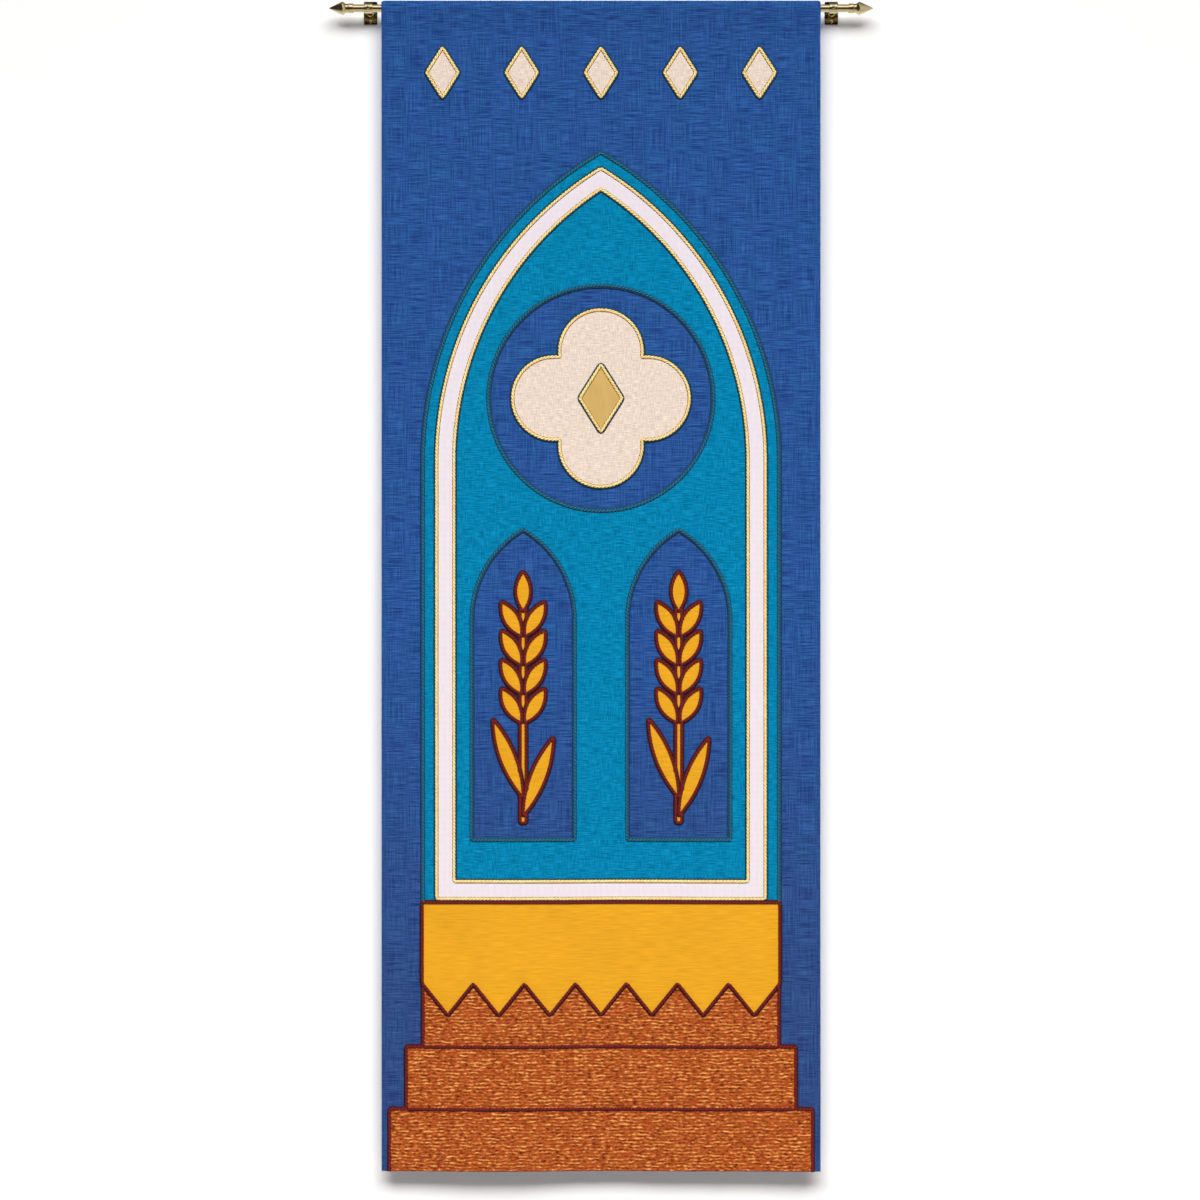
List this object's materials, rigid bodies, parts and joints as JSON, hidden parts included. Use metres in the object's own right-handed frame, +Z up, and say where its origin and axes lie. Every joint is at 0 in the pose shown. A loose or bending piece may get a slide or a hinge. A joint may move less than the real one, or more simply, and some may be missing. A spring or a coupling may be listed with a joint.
{
  "type": "church banner on a brass rod with wall brackets",
  "caption": "Tall blue fabric banner with an applied pointed window, wheat, lozenges and steps, hung by a sleeve from a brass rod in wall brackets.",
  "frame": {"origin": "on the wall, at the height of the rod's axis, midway between the two brackets", "axes": "+Z up, -Y out from the wall towards the viewer, +X to the viewer's right along the rod"},
  "size_m": [1.133, 0.0588, 2.4467],
  "materials": {
    "blue_linen": "slubbed royal blue linen weave",
    "turquoise_linen": "plain turquoise linen weave",
    "white_brocade": "smooth white woven cloth with a soft sheen",
    "cream_linen": "cream linen weave with faint slubs",
    "ochre_satin": "smooth ochre satin",
    "golden_rep": "fine ribbed golden yellow cloth",
    "rust_tweed": "rust brown tweed with strong crosswise slubs",
    "polished_brass": "polished lacquered brass"
  },
  "bodies": {
    "root": {"banner_cloth": "blue_linen", "window_panel": "turquoise_linen", "window_band": "white_brocade", "quatrefoil": "cream_linen", "quatrefoil_centre": "ochre_satin", "wheat_left": "golden_rep", "wheat_right": "golden_rep", "frontal": "golden_rep", "step_low": "rust_tweed", "step_middle": "rust_tweed", "step_top": "rust_tweed", "border_lozenge_1": "cream_linen", "border_lozenge_2": "cream_linen", "border_lozenge_3": "cream_linen", "border_lozenge_4": "cream_linen", "border_lozenge_5": "cream_linen", "rod": "polished_brass", "finial_left": "polished_brass", "bracket_left": "polished_brass", "set_screw_left": "polished_brass", "plate_screw_left_upper": "polished_brass", "plate_screw_left_lower": "polished_brass", "finial_right": "polished_brass", "bracket_right": "polished_brass", "set_screw_right": "polished_brass", "plate_screw_right_upper": "polished_brass", "plate_screw_right_lower": "polished_brass"}
  },
  "joints": []
}
